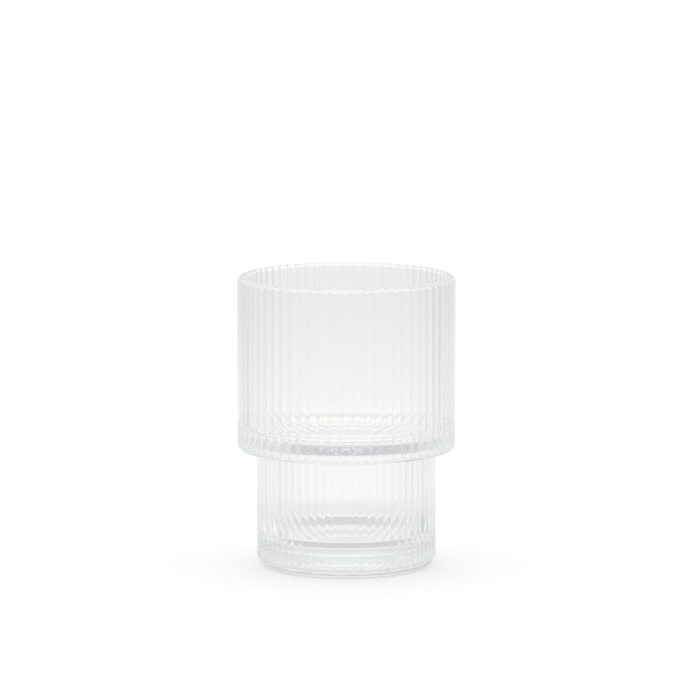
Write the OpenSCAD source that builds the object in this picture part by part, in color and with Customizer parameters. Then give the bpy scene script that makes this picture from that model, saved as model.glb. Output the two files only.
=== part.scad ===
// Two-tier ribbed tumbler for chai, pressed in one piece from clear glass.
// A wide drum stands on a narrower foot, so that the glasses stack, and both
// tiers are reeded all round on the outside and smooth on the inside.
// The origin is the centre of the base, on the table, and Z points up.

/* [Glass] */
// Overall height, from the table to the top of the lip
glass_h = 100.6; // [90:0.2:120]
// Number of ribs round each tier
rib_count = 66; // [54:1:78]
// Depth of the creases between the ribs, measured from the crests
rib_depth = 0.35; // [0.3:0.05:0.8]

/* [Drum] */
// Diameter of the drum over the crests of its ribs
drum_d = 75; // [72:0.5:84]
// Wall of the drum, from the crests to the bore
drum_wall = 3.3; // [3.2:0.1:4.2]
// Rounding of the outer edge of the lip
lip_outer_r = 2; // [1.2:0.1:2]
// Rounding of the inner edge of the lip
lip_inner_r = 1.2; // [0.6:0.1:1.2]

/* [Shoulder] */
// Height of the underside of the shoulder above the table
shoulder_h = 40.3; // [32:0.1:46]
// Height of the glass from the underside up to the top of the slope inside,
// where the slope would meet the bore of the drum
shoulder_t = 7.6; // [7:0.1:12]
// Slope of the shoulder inside, which funnels down from the drum to the foot,
// and of the ring round the floor, in degrees from level
slope_angle = 36; // [28:1:45]
// Rounding of the outer lower edge of the drum
shoulder_r = 2.4; // [1:0.1:4]
// Fillet between the wall of the drum and the slope
slope_fillet_r = 6; // [1:0.5:8]
// Rounding of the slope where it turns down into the foot
slope_edge_r = 1.5; // [0.5:0.1:2.5]

/* [Foot] */
// Diameter of the foot over the crests of its ribs
foot_d = 61.6; // [57:0.1:64]
// Wall of the foot, from the crests to the bore
foot_wall = 3.6; // [3:0.1:4.5]
// Rounding of the outer edge of the base
base_r = 5; // [2:0.1:6]
// Thickness of the floor of the glass, above the table
floor_t = 10; // [6:0.5:14]
// Rise of the sloping ring round the floor, up to where it would meet the wall
floor_rise = 2.3; // [1.5:0.1:4]
// Fillet between the floor and its sloping ring
floor_edge_r = 1.5; // [0.5:0.1:3]
// Fillet between the sloping ring and the wall of the foot
floor_fillet_r = 0.6; // [0.3:0.1:1.5]

/* [Underside] */
// Diameter of the shallow hollow that leaves a ring for the glass to stand on
hollow_d = 44; // [30:1:46]
// Depth of the hollow at its centre
hollow_depth = 0.8; // [0.4:0.1:1.5]

/* [Hidden] */
$fn = 96;

glass_colour = "#e4f0ec";
glass_alpha = 0.5;
// How far a cut runs past the surface that it meets
overrun = 1;
// How far the turned outline stands off the crests, so that it trims only
// the rounded ends of the ribs
crest_gap = 0.05;
// How far the arc of a rounding laps over the walls on either side, so that
// it crosses them instead of only touching them
arc_lap = 0.002;

drum_r = drum_d / 2;
drum_bore_r = drum_r - drum_wall;
foot_r = foot_d / 2;
foot_bore_r = foot_r - foot_wall;
slope_top_h = shoulder_h + shoulder_t;
slope_foot_h = slope_top_h - (drum_bore_r - foot_bore_r) * tan(slope_angle);
// How far the room's wall turns between the upright and a slope
slope_turn = 90 - slope_angle;
floor_top_h = floor_t + floor_rise;
floor_flat_r = foot_bore_r - floor_rise / tan(slope_angle);
hollow_r = hollow_d / 2;
// Radius of the ball that leaves a hollow of this depth and width
hollow_ball_r = (hollow_r * hollow_r + hollow_depth * hollow_depth) / (2 * hollow_depth);

// Distance from the axis to the creases of a ring of ribs
function crease_r(crest_r) = crest_r - rib_depth;

// Radius of one rib, whose arc meets its neighbours' at the creases
function rib_r(crest_r) =
    let (crease = crease_r(crest_r), half_pitch = cos(180 / rib_count))
    (crease * crease + crest_r * crest_r - 2 * crease * crest_r * half_pitch)
        / (2 * (crest_r - crease * half_pitch));

// How far from a corner its rounding starts, along either side
function setback(r, turn) = r * tan(turn / 2);

// Cross-section of a tier: a core with convex ribs round it
module ribbed_section(crest_r) {
    rib = rib_r(crest_r);
    circle(r = crease_r(crest_r) - rib_depth);
    for (i = [0 : rib_count - 1])
        rotate(i * 360 / rib_count)
            translate([crest_r - rib, 0])
                circle(r = rib);
}

// What lies between a corner and the arc that rounds it, drawn round the
// centre of the arc. The wall on the right is upright, and turn says how far
// the other wall turns away from it, so that a square corner turns 90 degrees
module corner(r, turn = 90) {
    reach = r + overrun;
    difference() {
        polygon([
            [0, 0], [reach, 0], [reach, setback(reach, turn)],
            [reach * cos(turn), reach * sin(turn)]
        ]);
        circle(r = r + arc_lap);
    }
}

// Half section of the drum's outline, which rounds the ends of its ribs
module drum_outline() {
    outline_r = drum_r + crest_gap;
    difference() {
        translate([0, shoulder_h])
            square([outline_r, glass_h - shoulder_h]);
        translate([outline_r - lip_outer_r, glass_h - lip_outer_r])
            corner(lip_outer_r);
        translate([outline_r - shoulder_r, shoulder_h + shoulder_r])
            mirror([0, 1])
                corner(shoulder_r);
    }
}

// Half section of the foot's outline, up into the glass of the shoulder
module foot_outline() {
    outline_r = foot_r + crest_gap;
    difference() {
        square([outline_r, shoulder_h + shoulder_t / 2]);
        translate([outline_r - base_r, base_r])
            mirror([0, 1])
                corner(base_r);
    }
}

// Half section of the room inside: the bore of the drum with its rounded
// mouth, the slope, and the bore of the foot down to the dished floor
module room_section() {
    difference() {
        union() {
            translate([0, slope_top_h])
                square([drum_bore_r, glass_h - slope_top_h + overrun]);
            polygon([
                [0, slope_foot_h], [foot_bore_r, slope_foot_h],
                [drum_bore_r, slope_top_h], [0, slope_top_h]
            ]);
            polygon([
                [0, floor_t], [floor_flat_r, floor_t],
                [foot_bore_r, floor_top_h], [0, floor_top_h]
            ]);
            translate([0, floor_top_h])
                square([foot_bore_r, glass_h - floor_top_h]);
            translate([foot_bore_r + slope_edge_r, slope_foot_h - setback(slope_edge_r, slope_turn)])
                mirror([1, 0])
                    corner(slope_edge_r, slope_turn);
            translate([drum_bore_r + lip_inner_r, glass_h - lip_inner_r])
                mirror([1, 0])
                    corner(lip_inner_r);
        }
        translate([drum_bore_r - slope_fillet_r, slope_top_h + setback(slope_fillet_r, slope_turn)])
            mirror([0, 1])
                corner(slope_fillet_r, slope_turn);
        translate([foot_bore_r - floor_fillet_r, floor_top_h + setback(floor_fillet_r, slope_turn)])
            mirror([0, 1])
                corner(floor_fillet_r, slope_turn);
        translate([floor_flat_r - setback(floor_edge_r, slope_angle), floor_t + floor_edge_r])
            rotate(-90)
                corner(floor_edge_r, slope_angle);
    }
}

// One tier: ribs of full height, trimmed to the tier's rounded outline
module tier(crest_r, top_h) {
    intersection() {
        linear_extrude(top_h)
            ribbed_section(crest_r);
        rotate_extrude()
            children();
    }
}

// The whole glass is a single pressing
module tumbler() {
    color(glass_colour, glass_alpha)
        difference() {
            union() {
                tier(drum_r, glass_h) drum_outline();
                tier(foot_r, slope_top_h) foot_outline();
            }
            rotate_extrude()
                room_section();
            translate([0, 0, hollow_depth - hollow_ball_r])
                sphere(r = hollow_ball_r);
        }
}

tumbler();
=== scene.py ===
import math

import bpy
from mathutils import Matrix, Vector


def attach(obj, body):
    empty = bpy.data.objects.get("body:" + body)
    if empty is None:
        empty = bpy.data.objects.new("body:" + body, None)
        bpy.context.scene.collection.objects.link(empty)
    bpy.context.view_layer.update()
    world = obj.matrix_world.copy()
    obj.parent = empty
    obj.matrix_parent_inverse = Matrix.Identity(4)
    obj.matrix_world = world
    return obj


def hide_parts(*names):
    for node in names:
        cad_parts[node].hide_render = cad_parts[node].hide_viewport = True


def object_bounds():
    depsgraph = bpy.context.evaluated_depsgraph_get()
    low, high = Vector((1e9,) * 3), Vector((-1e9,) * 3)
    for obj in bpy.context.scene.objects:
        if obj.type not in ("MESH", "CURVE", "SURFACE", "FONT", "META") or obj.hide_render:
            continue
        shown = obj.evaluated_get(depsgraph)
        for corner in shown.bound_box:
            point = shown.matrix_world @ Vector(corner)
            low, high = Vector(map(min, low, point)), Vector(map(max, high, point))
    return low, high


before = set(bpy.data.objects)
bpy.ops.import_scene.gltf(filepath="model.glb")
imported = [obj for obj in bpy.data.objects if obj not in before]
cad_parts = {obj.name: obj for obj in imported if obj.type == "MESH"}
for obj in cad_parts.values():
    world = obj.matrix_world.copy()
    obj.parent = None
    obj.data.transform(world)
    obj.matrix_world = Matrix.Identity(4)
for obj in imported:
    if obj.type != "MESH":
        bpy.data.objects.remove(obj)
cad_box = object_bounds()

# The camera
# A long lens stands two metres from the glass and looks down on it a little,
# so that the walls look almost parallel. The glass sits low in the square
# picture, just left of its middle.
PICTURE_PX = 700
SENSOR_MM = 36.0
CAMERA_DISTANCE = 2.0
CAMERA_ELEVATION = math.radians(8.1)
# How far round the glass it stands from square on, which sets where the ribs fall
CAMERA_TURN = math.radians(-2.5)
PX_PER_METRE = 2905.0
GLASS_X_PX = 346.4
GLASS_Y_PX = 421.1
# The height that lies at that point of the picture, about half of the glass
AIM_HEIGHT = 0.05
# The nearest and the furthest that the camera sees
NEAREST = 0.05
FURTHEST = 50.0

side_step = (PICTURE_PX / 2 - GLASS_X_PX) / PX_PER_METRE
lift = (GLASS_Y_PX - PICTURE_PX / 2) / PX_PER_METRE
back_step = CAMERA_DISTANCE * math.cos(CAMERA_ELEVATION) - lift * math.sin(CAMERA_ELEVATION)
camera_data = bpy.data.cameras.new("camera")
camera_data.sensor_width = SENSOR_MM
camera_data.lens = PX_PER_METRE * CAMERA_DISTANCE * SENSOR_MM / PICTURE_PX
camera_data.clip_start = NEAREST
camera_data.clip_end = FURTHEST
camera = bpy.data.objects.new("camera", camera_data)
camera.rotation_euler = (math.pi / 2 - CAMERA_ELEVATION, 0, CAMERA_TURN)
camera.location = (
    side_step * math.cos(CAMERA_TURN) + back_step * math.sin(CAMERA_TURN),
    side_step * math.sin(CAMERA_TURN) - back_step * math.cos(CAMERA_TURN),
    AIM_HEIGHT + CAMERA_DISTANCE * math.sin(CAMERA_ELEVATION) + lift * math.cos(CAMERA_ELEVATION),
)
bpy.context.collection.objects.link(camera)
bpy.context.scene.camera = camera

# The tumbler
# One pressing of clear soda-lime glass in two tiers, ribbed outside and
# smooth inside. The mould cuts the ribs, the plunger leaves the smooth room
# with its sloping shoulder, and a flame softens the lip.
MM = 0.001
RIBS = 66
RIB_DEPTH = 0.35 * MM
# How far the turned outline stands off the crests, so that it trims only the ends of the ribs
CREST_GAP = 0.05 * MM
# The drum's wall, from the crests to the bore, and the two roundings of its lip
DRUM_WALL = 3.3 * MM
LIP_OUTER_R = 2 * MM
LIP_INNER_R = 1.2 * MM
# The shoulder's underside above the table, the glass from there up to the top of
# the slope inside, and the rounding of its outer edge
SHOULDER_H = 40.3 * MM
SHOULDER_T = 7.6 * MM
SHOULDER_R = 2.4 * MM
# The slope inside the shoulder, which the ring round the floor has too, with the
# fillet above it and the rounding below it
SLOPE_ANGLE = math.radians(36)
SLOPE_FILLET_R = 6 * MM
SLOPE_EDGE_R = 1.5 * MM
# Fillet in the corner between the foot and the shoulder's underside
THROAT_R = 0.7 * MM
# The foot over its crests, its wall, and the rounding of the base
FOOT_R = 30.8 * MM
FOOT_WALL = 3.6 * MM
BASE_R = 5 * MM
# The floor inside, the rise of its sloping ring, and the ring's lower and upper fillets
FLOOR_T = 10 * MM
FLOOR_RISE = 2.3 * MM
FLOOR_EDGE_R = 1.5 * MM
FLOOR_FILLET_R = 0.6 * MM
# The shallow hollow under the base, which is part of a ball
HOLLOW_R = 22 * MM
HOLLOW_DEPTH = 0.8 * MM
# Columns of points from one crease to the next, closer together by the creases
COLUMN_SHARES = (-0.5, -0.47, -0.39, -0.27, -0.13, 0.0, 0.13, 0.27, 0.39, 0.47, 0.5)
# Rows of points from the middle of the hollow out, and from the floor's edge in
HOLLOW_SHARES = (0.0, 0.2, 0.4, 0.6, 0.8, 0.97)
FLOOR_SHARES = (0.97, 0.7, 0.35, 0.0)
# How near to an edge the next row of points lies, which keeps the edge crisp
EDGE_STEP = 0.25 * MM
# Steps round each arc of the section, from the base over the lip to the floor
BASE_STEPS = 14
THROAT_STEPS = 5
SHOULDER_STEPS = 10
LIP_OUTER_STEPS = 10
LIP_INNER_STEPS = 8
SLOPE_FILLET_STEPS = 10
SLOPE_EDGE_STEPS = 8
FLOOR_FILLET_STEPS = 6
FLOOR_EDGE_STEPS = 8
# Points of neighbouring ribs that lie this close are one point
WELD_DISTANCE = 0.001 * MM
# How much the glass bends light, its faint tint, and how fast the tint deepens
GLASS_IOR = 1.52
GLASS_TINT = (0.945, 0.957, 0.957, 1.0)
TINT_DENSITY = 20.0
# Fine waves of the surface, drawn out upwards
WAVE_LENGTH = 3 * MM
WAVE_HEIGHT = 0.02 * MM
WAVE_STRETCH = 0.03
WAVE_DETAIL = 1.0

quarter = math.pi / 2
drum_r = cad_box[1][0]
glass_h = cad_box[1][2]
drum_bore_r = drum_r - DRUM_WALL
foot_bore_r = FOOT_R - FOOT_WALL
slope_top_h = SHOULDER_H + SHOULDER_T
slope_foot_h = slope_top_h - (drum_bore_r - foot_bore_r) * math.tan(SLOPE_ANGLE)


def rib_reach(crest_r, angle):
    """Distance from the axis to the ribs, at an angle from a crest."""
    crease_r = crest_r - RIB_DEPTH
    half_pitch = math.cos(math.pi / RIBS)
    round_r = crease_r**2 + crest_r**2 - 2 * crease_r * crest_r * half_pitch
    round_r /= 2 * (crest_r - crease_r * half_pitch)
    centre_r = crest_r - round_r
    return centre_r * math.cos(angle) + math.sqrt(round_r**2 - (centre_r * math.sin(angle)) ** 2)


def arc(centre, radius, start, end, steps):
    """Points of a quarter or less of a circle in the half section."""
    points = []
    for index in range(steps + 1):
        turn = start + (end - start) * index / steps
        points.append((centre[0] + radius * math.cos(turn), centre[1] + radius * math.sin(turn)))
    return points


def run_out(reach, outline_r, radius):
    """Angle at which the rounded outline meets a rib of this reach."""
    return math.acos(min(1.0, (reach - (outline_r - radius)) / radius))


def outer_section(angle):
    """The outside of the glass at one angle from a crest, from under its base up to its lip."""
    foot_reach = rib_reach(FOOT_R, angle)
    drum_reach = rib_reach(drum_r, angle)
    foot_out = FOOT_R + CREST_GAP
    drum_out = drum_r + CREST_GAP
    base_end = -run_out(foot_reach, foot_out, BASE_R)
    shoulder_end = -run_out(drum_reach, drum_out, SHOULDER_R)
    lip_start = run_out(drum_reach, drum_out, LIP_OUTER_R)
    base = (foot_out - BASE_R, BASE_R)
    throat = (foot_reach + THROAT_R, SHOULDER_H - THROAT_R)
    shoulder = (drum_out - SHOULDER_R, SHOULDER_H + SHOULDER_R)
    lip = (drum_out - LIP_OUTER_R, glass_h - LIP_OUTER_R)
    ball_r = (HOLLOW_R**2 + HOLLOW_DEPTH**2) / (2 * HOLLOW_DEPTH)
    section = []
    for share in HOLLOW_SHARES:
        r = HOLLOW_R * share
        section.append((r, HOLLOW_DEPTH - ball_r + math.sqrt(ball_r**2 - r**2)))
    section.append((HOLLOW_R, 0.0))
    section.append((HOLLOW_R + EDGE_STEP, 0.0))
    section += arc(base, BASE_R, -quarter, base_end, BASE_STEPS)
    section.append((foot_reach, section[-1][1] + EDGE_STEP))
    section.append((foot_reach, SHOULDER_H - THROAT_R - EDGE_STEP))
    section += arc(throat, THROAT_R, 2 * quarter, quarter, THROAT_STEPS)
    section += arc(shoulder, SHOULDER_R, -quarter, shoulder_end, SHOULDER_STEPS)
    section.append((drum_reach, section[-1][1] + EDGE_STEP))
    lip_arc = arc(lip, LIP_OUTER_R, lip_start, quarter, LIP_OUTER_STEPS)
    section.append((drum_reach, lip_arc[0][1] - EDGE_STEP))
    return section + lip_arc


def inner_section():
    """The smooth room, from the top of the lip down to the middle of the floor."""
    turn = quarter - SLOPE_ANGLE
    fillet_h = slope_top_h + SLOPE_FILLET_R * math.tan(turn / 2)
    edge_h = slope_foot_h - SLOPE_EDGE_R * math.tan(turn / 2)
    ring_top_h = FLOOR_T + FLOOR_RISE + FLOOR_FILLET_R * math.tan(turn / 2)
    flat_r = foot_bore_r - FLOOR_RISE / math.tan(SLOPE_ANGLE) - FLOOR_EDGE_R * math.tan(SLOPE_ANGLE / 2)
    lip = (drum_bore_r + LIP_INNER_R, glass_h - LIP_INNER_R)
    fillet = (drum_bore_r - SLOPE_FILLET_R, fillet_h)
    edge = (foot_bore_r + SLOPE_EDGE_R, edge_h)
    ring_top = (foot_bore_r - FLOOR_FILLET_R, ring_top_h)
    ring_foot = (flat_r, FLOOR_T + FLOOR_EDGE_R)
    section = arc(lip, LIP_INNER_R, quarter, 2 * quarter, LIP_INNER_STEPS)
    section.append((drum_bore_r, glass_h - LIP_INNER_R - EDGE_STEP))
    section.append((drum_bore_r, fillet_h + EDGE_STEP))
    section += arc(fillet, SLOPE_FILLET_R, 0, -turn, SLOPE_FILLET_STEPS)
    section += arc(edge, SLOPE_EDGE_R, 2 * quarter - turn, 2 * quarter, SLOPE_EDGE_STEPS)
    section.append((foot_bore_r, edge_h - EDGE_STEP))
    section.append((foot_bore_r, ring_top_h + EDGE_STEP))
    section += arc(ring_top, FLOOR_FILLET_R, 0, -turn, FLOOR_FILLET_STEPS)
    section += arc(ring_foot, FLOOR_EDGE_R, -turn, -quarter, FLOOR_EDGE_STEPS)
    for share in FLOOR_SHARES:
        section.append((flat_r * share, FLOOR_T))
    return section


def rib_strip():
    """The slice of the glass that carries one rib, as a mesh of its outer and inner faces."""
    columns = []
    for share in COLUMN_SHARES:
        angle = share * 2 * math.pi / RIBS
        section = outer_section(angle) + inner_section()
        columns.append([(r * math.cos(angle), r * math.sin(angle), z) for r, z in section])
    rows = len(columns[0])
    points = [point for column in columns for point in column]
    faces = []
    for column in range(len(columns) - 1):
        near = column * rows
        far = near + rows
        for row in range(rows - 1):
            faces.append((near + row, far + row, far + row + 1, near + row + 1))
    mesh = bpy.data.meshes.new("rib_strip")
    mesh.from_pydata(points, [], faces)
    return mesh


def ring_of_ribs():
    """Geometry nodes that set copies of the strip round the axis and weld them into one glass."""
    tree = bpy.data.node_groups.new("ring_of_ribs", "GeometryNodeTree")
    sockets = {}
    for name, kind in (("Strip", "NodeSocketGeometry"), ("Ribs", "NodeSocketInt"),
                       ("Weld distance", "NodeSocketFloat"), ("Glass", "NodeSocketMaterial")):
        sockets[name] = tree.interface.new_socket(name, in_out="INPUT", socket_type=kind).identifier
    tree.interface.new_socket("Tumbler", in_out="OUTPUT", socket_type="NodeSocketGeometry")
    nodes, links = tree.nodes, tree.links
    given = nodes.new("NodeGroupInput")
    result = nodes.new("NodeGroupOutput")
    # One point for each rib, and its share of the whole turn
    points = nodes.new("GeometryNodePoints")
    links.new(given.outputs["Ribs"], points.inputs["Count"])
    index = nodes.new("GeometryNodeInputIndex")
    share = nodes.new("ShaderNodeMath")
    share.operation = "DIVIDE"
    links.new(index.outputs["Index"], share.inputs[0])
    links.new(given.outputs["Ribs"], share.inputs[1])
    turn = nodes.new("ShaderNodeMath")
    turn.operation = "MULTIPLY"
    turn.inputs[1].default_value = 2 * math.pi
    links.new(share.outputs[0], turn.inputs[0])
    rotation = nodes.new("ShaderNodeCombineXYZ")
    links.new(turn.outputs[0], rotation.inputs["Z"])
    # A strip at each of them, joined to its neighbours from crease to crease
    copies = nodes.new("GeometryNodeInstanceOnPoints")
    links.new(points.outputs[0], copies.inputs["Points"])
    links.new(given.outputs["Strip"], copies.inputs["Instance"])
    links.new(rotation.outputs[0], copies.inputs["Rotation"])
    real = nodes.new("GeometryNodeRealizeInstances")
    links.new(copies.outputs[0], real.inputs[0])
    weld = nodes.new("GeometryNodeMergeByDistance")
    links.new(real.outputs[0], weld.inputs["Geometry"])
    links.new(given.outputs["Weld distance"], weld.inputs["Distance"])
    smooth = nodes.new("GeometryNodeSetShadeSmooth")
    links.new(weld.outputs[0], smooth.inputs["Geometry"])
    coat = nodes.new("GeometryNodeSetMaterial")
    links.new(smooth.outputs[0], coat.inputs["Geometry"])
    links.new(given.outputs["Glass"], coat.inputs["Material"])
    links.new(coat.outputs[0], result.inputs[0])
    return tree, sockets


def vector_step(tree, operation, first, second):
    """One step of arithmetic on a place or a colour, with another or with a number."""
    node = tree.nodes.new("ShaderNodeVectorMath")
    node.operation = operation
    tree.links.new(first, node.inputs[0])
    socket = node.inputs["Scale"] if operation == "SCALE" else node.inputs[1]
    if isinstance(second, (float, tuple)):
        socket.default_value = second
    else:
        tree.links.new(second, socket)
    return node.outputs[0]


def noise(tree, place, scale, detail):
    """A noise texture, read at a place."""
    texture = tree.nodes.new("ShaderNodeTexNoise")
    texture.inputs["Scale"].default_value = scale
    texture.inputs["Detail"].default_value = detail
    tree.links.new(place, texture.inputs["Vector"])
    return texture


def clear_glass():
    """Clear soda-lime glass, faintly wavy, with hardly any colour of its own."""
    material = bpy.data.materials.new("clear_glass")
    material.use_nodes = True
    tree = material.node_tree
    nodes, links = tree.nodes, tree.links
    glass = nodes["Principled BSDF"]
    glass.inputs["Base Color"].default_value = (1.0, 1.0, 1.0, 1.0)
    glass.inputs["Roughness"].default_value = 0.0
    glass.inputs["IOR"].default_value = GLASS_IOR
    glass.inputs["Transmission Weight"].default_value = 1.0
    # Long shallow waves up and down the walls, as the mould leaves them
    place = nodes.new("ShaderNodeTexCoord").outputs["Object"]
    drawn_out = vector_step(tree, "MULTIPLY", place, (1.0, 1.0, WAVE_STRETCH))
    waves = noise(tree, drawn_out, 1.0 / WAVE_LENGTH, WAVE_DETAIL)
    bump = nodes.new("ShaderNodeBump")
    bump.inputs["Strength"].default_value = 1.0
    bump.inputs["Distance"].default_value = WAVE_HEIGHT
    links.new(waves.outputs["Fac"], bump.inputs["Height"])
    links.new(bump.outputs[0], glass.inputs["Normal"])
    absorption = nodes.new("ShaderNodeVolumeAbsorption")
    absorption.inputs["Color"].default_value = GLASS_TINT
    absorption.inputs["Density"].default_value = TINT_DENSITY
    links.new(absorption.outputs[0], nodes["Material Output"].inputs["Volume"])
    return material


strip = bpy.data.objects.new("rib_strip", rib_strip())
bpy.context.collection.objects.link(strip)
tree, sockets = ring_of_ribs()
modifier = strip.modifiers.new("ring_of_ribs", "NODES")
modifier.node_group = tree
modifier[sockets["Ribs"]] = RIBS
modifier[sockets["Weld distance"]] = WELD_DISTANCE
modifier[sockets["Glass"]] = clear_glass()
evaluated = strip.evaluated_get(bpy.context.evaluated_depsgraph_get())
tumbler_mesh = bpy.data.meshes.new_from_object(evaluated)
tumbler_mesh.name = "tumbler_glass"
bpy.data.objects.remove(strip)
tumbler = bpy.data.objects.new("tumbler_glass", tumbler_mesh)
bpy.context.collection.objects.link(tumbler)
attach(tumbler, "root")
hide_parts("tumbler")

# The light
# A plain white studio with soft light from all round and above, brightest
# overhead and behind the glass. Soft boxes stand round its sides, which the
# ribs draw out into bright and dark lines.

# Brightness of the studio at its back, its sides and its front, as shares of white
BACK_LIGHT = 0.955
SIDE_LIGHT = 0.88
FRONT_LIGHT = 0.85
# Where its back and its front start to take over from its sides, and where they
# have, as shares of the way to the back, with the front below zero
BACK_START = 0.45
BACK_FULL = 0.97
FRONT_START = 0.1
FRONT_FULL = -0.8
# An extra glow straight behind, and where it starts
BACK_GLOW = 0.05
GLOW_START = 0.86
# How uneven the studio is, all round
UNEVEN = 0.4
UNEVEN_SCALE = 5.0
UNEVEN_DETAIL = 1.0
# The middle of the values that a noise texture gives
NOISE_MIDDLE = 0.5
# Its brightness by height, which is the sine of the angle above the floor
HEIGHT_TONES = (
    (0.0, 0.78),
    (0.1, 0.81),
    (0.2, 0.88),
    (0.35, 0.92),
    (0.45, 1.05),
    (0.75, 1.05),
    (0.97, 1.12),
)
# The most that these may come to
HEIGHT_LIMIT = 2.0
# The soft boxes, and how much they and the gaps between them differ from the rest
BOXES_ROUND = 14
BOX_SIZE = 0.38
# The heights, as such a sine, at which they begin and come to their full light
BOX_FOOT = 0.25
BOX_FULL = 0.45
# The shares of the way to the back at which they start to fade, and end
BOX_FADE = 0.6
BOX_END = 0.97
# How many faces light may cross in the glass, and how often it may leave the paper
GLASS_BOUNCES = 256
PAPER_BOUNCES = 3


def step(tree, operation, first, second=None):
    """One step of arithmetic on one or two values, each a number or a socket."""
    node = tree.nodes.new("ShaderNodeMath")
    node.operation = operation
    for value, socket in ((first, node.inputs[0]), (second, node.inputs[1])):
        if isinstance(value, (int, float)):
            socket.default_value = value
        elif value is not None:
            tree.links.new(value, socket)
    return node.outputs[0]


def ease(tree, value, start, end):
    """A share that eases from 0 to 1 as the value goes from start to end."""
    node = tree.nodes.new("ShaderNodeMapRange")
    node.interpolation_type = "SMOOTHSTEP"
    node.inputs["From Min"].default_value = start
    node.inputs["From Max"].default_value = end
    tree.links.new(value, node.inputs["Value"])
    return node.outputs[0]


def blend(tree, share, low, high, kind="FLOAT"):
    """A value or colour that goes from low to high as the share goes from 0 to 1."""
    mix = tree.nodes.new("ShaderNodeMix")
    mix.data_type = kind
    tree.links.new(share, mix.inputs["Factor"])
    for value, socket in ((low, mix.inputs["A"]), (high, mix.inputs["B"])):
        if isinstance(value, float):
            socket.default_value = value
        else:
            tree.links.new(value, socket)
    return mix.outputs["Result"]


def studio_walls():
    """Node group that takes a direction, or a place on the floor, and puts out how
    bright the studio is that way: brightest at its back, and a little uneven."""
    group = bpy.data.node_groups.new("studio_walls", "ShaderNodeTree")
    group.interface.new_socket("Vector", in_out="INPUT", socket_type="NodeSocketVector")
    group.interface.new_socket("Light", in_out="OUTPUT", socket_type="NodeSocketFloat")
    given = group.nodes.new("NodeGroupInput")
    result = group.nodes.new("NodeGroupOutput")
    level = vector_step(group, "MULTIPLY", given.outputs[0], (1.0, 1.0, 0.0))
    unit = group.nodes.new("ShaderNodeVectorMath")
    unit.operation = "NORMALIZE"
    group.links.new(level, unit.inputs[0])
    parts = group.nodes.new("ShaderNodeSeparateXYZ")
    group.links.new(unit.outputs[0], parts.inputs[0])
    to_back = parts.outputs["Y"]
    light = blend(group, ease(group, to_back, BACK_START, BACK_FULL), SIDE_LIGHT, BACK_LIGHT)
    light = blend(group, ease(group, to_back, FRONT_START, FRONT_FULL), light, FRONT_LIGHT)
    glow = step(group, "MULTIPLY", ease(group, to_back, GLOW_START, 1.0), BACK_GLOW)
    light = step(group, "ADD", light, glow)
    cloud = noise(group, unit.outputs[0], UNEVEN_SCALE, UNEVEN_DETAIL).outputs["Fac"]
    uneven = step(group, "MULTIPLY", step(group, "SUBTRACT", cloud, NOISE_MIDDLE), UNEVEN)
    group.links.new(step(group, "ADD", light, uneven), result.inputs[0])
    return group


def walls_toward(tree, walls, vector):
    """The studio's brightness that way, in a material or the world."""
    node = tree.nodes.new("ShaderNodeGroup")
    node.node_tree = walls
    tree.links.new(vector, node.inputs[0])
    return node.outputs[0]


def tone_by_height(tree, height):
    """Brightness of the studio by height, along a smooth curve."""
    node = tree.nodes.new("ShaderNodeFloatCurve")
    node.mapping.clip_max_y = HEIGHT_LIMIT
    curve = node.mapping.curves[0]
    curve.points[0].location = HEIGHT_TONES[0]
    curve.points[1].location = HEIGHT_TONES[-1]
    for height_and_tone in HEIGHT_TONES[1:-1]:
        curve.points.new(*height_and_tone)
    node.mapping.update()
    tree.links.new(height, node.inputs["Value"])
    return node.outputs[0]


def soft_boxes(tree, height, angle):
    """What the soft boxes and their gaps add to the studio's brightness."""
    boxes = step(tree, "COSINE", step(tree, "MULTIPLY", angle, BOXES_ROUND))
    above = ease(tree, height, BOX_FOOT, BOX_FULL)
    beside = ease(tree, step(tree, "SINE", angle), BOX_END, BOX_FADE)
    standing = step(tree, "MULTIPLY", above, beside)
    return step(tree, "MULTIPLY", step(tree, "MULTIPLY", boxes, BOX_SIZE), standing)


walls = studio_walls()
world = bpy.data.worlds.new("studio")
world.use_nodes = True
tree = world.node_tree
direction = tree.nodes.new("ShaderNodeTexCoord").outputs["Generated"]
parts = tree.nodes.new("ShaderNodeSeparateXYZ")
tree.links.new(direction, parts.inputs[0])
height = parts.outputs["Z"]
angle = step(tree, "ARCTAN2", parts.outputs["Y"], parts.outputs["X"])
studio = step(tree, "MULTIPLY", walls_toward(tree, walls, direction), tone_by_height(tree, height))
studio = step(tree, "ADD", studio, soft_boxes(tree, height, angle))
paths = tree.nodes.new("ShaderNodeLightPath").outputs
background = tree.nodes["Background"]
background.inputs["Color"].default_value = (1.0, 1.0, 1.0, 1.0)
tree.links.new(blend(tree, paths["Is Camera Ray"], studio, 1.0), background.inputs["Strength"])
scene = bpy.context.scene
scene.world = world
scene.view_settings.view_transform = "Standard"
scene.cycles.max_bounces = GLASS_BOUNCES
scene.cycles.transmission_bounces = GLASS_BOUNCES
scene.cycles.glossy_bounces = GLASS_BOUNCES
scene.cycles.diffuse_bounces = PAPER_BOUNCES

# The floor
# A white paper sweep under the glass. To the camera it is plain white with a
# soft shade round the foot. To the glass it glows with painted shade and light:
# dim under its front, lit through it under its back, and in painted shade just behind it.
FLOOR_HALF = 12.0
# How far the paper lies under the base, so that the two faces don't meet
FLOOR_SINK = 0.02 * MM
# The paper's own colour, how much of its light it returns, and how much it glows,
# all to the camera
PAPER = (0.97, 0.97, 0.975, 1.0)
CAMERA_SHADE = 0.62
CAMERA_GLOW = 0.512
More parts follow.
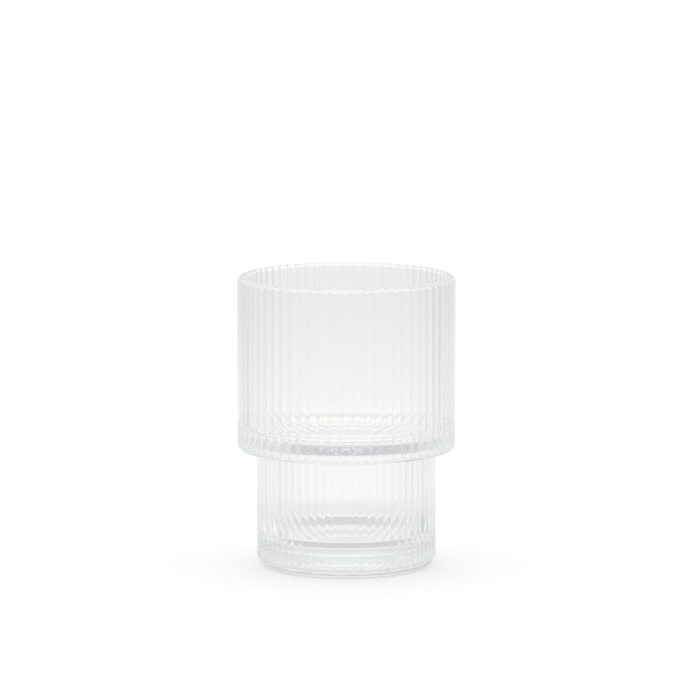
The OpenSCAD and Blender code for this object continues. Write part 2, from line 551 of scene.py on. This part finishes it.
# Painted shade and light on the paper as the glass sees it, by the distance from the axis
TONE_REACH = 160 * MM
# In front, painted shade on the paper under the front of the foot
FRONT_PAINTED_SHADE = (
    (0 * MM, (0.86, 0.87, 0.90)),
    (16 * MM, (0.84, 0.85, 0.88)),
    (19 * MM, (0.67, 0.66, 0.68)),
    (26 * MM, (0.60, 0.59, 0.62)),
    (31 * MM, (0.61, 0.60, 0.63)),
    (35 * MM, (0.90, 0.91, 0.91)),
    (65 * MM, (0.93, 0.95, 0.94)),
    (160 * MM, (0.93, 0.95, 0.94)),
)
# Behind, painted light under the back of the glass, painted shade just outside the foot, and fainter
# painted shade further out
BACK_PAINTED_LIGHT_AND_SHADE = (
    (0 * MM, (0.86, 0.87, 0.90)),
    (10 * MM, (0.88, 0.89, 0.90)),
    (15 * MM, (1.00, 1.00, 0.99)),
    (30 * MM, (1.00, 1.00, 0.99)),
    (34 * MM, (0.68, 0.68, 0.70)),
    (46 * MM, (0.66, 0.66, 0.69)),
    (52 * MM, (0.70, 0.71, 0.73)),
    (62 * MM, (0.98, 1.00, 0.99)),
    (92 * MM, (0.98, 1.00, 0.98)),
    (106 * MM, (0.87, 0.88, 0.87)),
    (122 * MM, (0.86, 0.87, 0.86)),
    (140 * MM, (0.96, 0.98, 0.97)),
    (160 * MM, (0.96, 0.98, 0.97)),
)
# Between which shares of the way to the back the front's painted shade turns into the back's
FRONT_SHARE = -0.35
BACK_SHARE = 0.35
# How far round to the left of the glass its shade falls
SHADE_TURN = math.radians(12)
# Where the paper's painted light starts to fade with distance, where it is dimmest, and how dim
FAR_START = 0.18
FAR_END = 0.8
FAR_TONE = 0.88
# Painted streaks of light and shade, as the glass would throw on the paper, away from it
STREAKS_ROUND = 22
STREAK_SIZE = 0.2
STREAK_START = 26 * MM
STREAK_PEAK = 85 * MM
STREAK_END = 140 * MM
# How strongly they break up into colours, and how fast these change round the
# glass and away from it
STREAK_COLOURS = 0.42
COLOURS_ROUND = 8.0
COLOURS_OUT = 20.0
COLOURS_DETAIL = 2.0
# How near to the glass the studio's sides start to tell on the paper's painted light, and tell in full
STUDIO_NEAR = 35 * MM
STUDIO_FULL = 90 * MM


def painted_shade_by_reach(tree, reach, tones):
    """Painted shade and light on the paper, by the distance from the axis."""
    ramp = tree.nodes.new("ShaderNodeValToRGB")
    while len(ramp.color_ramp.elements) < len(tones):
        ramp.color_ramp.elements.new(1.0)
    for stop, (place, colour) in zip(ramp.color_ramp.elements, tones):
        stop.position = place / TONE_REACH
        stop.color = (*colour, 1.0)
    tree.links.new(step(tree, "DIVIDE", reach, TONE_REACH), ramp.inputs[0])
    return ramp.outputs[0]


def light_streaks(tree, reach, angle):
    """The painted streaks of light and shade round the glass, as a colour to add to the paper's."""
    wave = step(tree, "COSINE", step(tree, "MULTIPLY", angle, STREAKS_ROUND))
    spot = tree.nodes.new("ShaderNodeCombineXYZ")
    tree.links.new(step(tree, "MULTIPLY", angle, COLOURS_ROUND), spot.inputs["X"])
    tree.links.new(step(tree, "MULTIPLY", reach, COLOURS_OUT), spot.inputs["Y"])
    cloud = noise(tree, spot.outputs[0], 1.0, COLOURS_DETAIL).outputs["Color"]
    swing = vector_step(tree, "SUBTRACT", cloud, (NOISE_MIDDLE, NOISE_MIDDLE, NOISE_MIDDLE))
    colours = vector_step(tree, "SCALE", swing, STREAK_COLOURS)
    streaks = vector_step(tree, "ADD", step(tree, "MULTIPLY", wave, STREAK_SIZE), colours)
    window = step(tree, "MULTIPLY", ease(tree, reach, STREAK_START, STREAK_PEAK),
                  ease(tree, reach, STREAK_END, STREAK_PEAK))
    return vector_step(tree, "SCALE", streaks, window)


def painted_shade_on_paper(tree, reach, angle):
    """Painted shade and light on the paper as the glass sees it, by distance and angle."""
    to_back = step(tree, "SINE", step(tree, "SUBTRACT", angle, SHADE_TURN))
    front = painted_shade_by_reach(tree, reach, FRONT_PAINTED_SHADE)
    back = painted_shade_by_reach(tree, reach, BACK_PAINTED_LIGHT_AND_SHADE)
    tones = blend(tree, ease(tree, to_back, FRONT_SHARE, BACK_SHARE), front, back, "RGBA")
    return vector_step(tree, "ADD", tones, light_streaks(tree, reach, angle))


def white_paper(walls):
    """Plain white paper to the camera, and to the glass paper that glows with the studio's tones and
    painted shade and light.
    """
    material = bpy.data.materials.new("white_paper")
    material.use_nodes = True
    tree = material.node_tree
    nodes, links = tree.nodes, tree.links
    nodes.remove(nodes["Principled BSDF"])
    place = nodes.new("ShaderNodeTexCoord").outputs["Object"]
    parts = nodes.new("ShaderNodeSeparateXYZ")
    links.new(place, parts.inputs[0])
    angle = step(tree, "ARCTAN2", parts.outputs["Y"], parts.outputs["X"])
    length = nodes.new("ShaderNodeVectorMath")
    length.operation = "LENGTH"
    links.new(place, length.inputs[0])
    reach = length.outputs["Value"]
    # Painted light on the paper: the studio's brightness that way, fading with distance
    side = walls_toward(tree, walls, place)
    studio = blend(tree, ease(tree, reach, STUDIO_NEAR, STUDIO_FULL), 1.0, side)
    distance = blend(tree, ease(tree, reach, FAR_START, FAR_END), 1.0, FAR_TONE)
    light = step(tree, "MULTIPLY", studio, distance)
    # The paper's glow to the glass carries this painted shade and light
    painted_light_and_shade = vector_step(tree, "SCALE", painted_shade_on_paper(tree, reach, angle), light)
    to_glass = nodes.new("ShaderNodeEmission")
    links.new(painted_light_and_shade, to_glass.inputs["Color"])
    matte = nodes.new("ShaderNodeBsdfDiffuse")
    matte.inputs["Color"].default_value = [CAMERA_SHADE * part for part in PAPER[:3]] + [1.0]
    glow = nodes.new("ShaderNodeEmission")
    glow.inputs["Color"].default_value = PAPER
    glow.inputs["Strength"].default_value = CAMERA_GLOW
    to_camera = nodes.new("ShaderNodeAddShader")
    links.new(matte.outputs[0], to_camera.inputs[0])
    links.new(glow.outputs[0], to_camera.inputs[1])
    paths = nodes.new("ShaderNodeLightPath").outputs
    through_glass = step(tree, "MAXIMUM", paths["Is Glossy Ray"], paths["Is Transmission Ray"])
    sheet = nodes.new("ShaderNodeMixShader")
    links.new(through_glass, sheet.inputs[0])
    links.new(to_camera.outputs[0], sheet.inputs[1])
    links.new(to_glass.outputs[0], sheet.inputs[2])
    links.new(sheet.outputs[0], nodes["Material Output"].inputs["Surface"])
    return material


floor_mesh = bpy.data.meshes.new("floor")
floor_corners = [
    (-FLOOR_HALF, -FLOOR_HALF, -FLOOR_SINK),
    (FLOOR_HALF, -FLOOR_HALF, -FLOOR_SINK),
    (FLOOR_HALF, FLOOR_HALF, -FLOOR_SINK),
    (-FLOOR_HALF, FLOOR_HALF, -FLOOR_SINK),
]
floor_mesh.from_pydata(floor_corners, [], [(0, 1, 2, 3)])
floor_mesh.materials.append(white_paper(walls))
floor = bpy.data.objects.new("floor", floor_mesh)
bpy.context.collection.objects.link(floor)
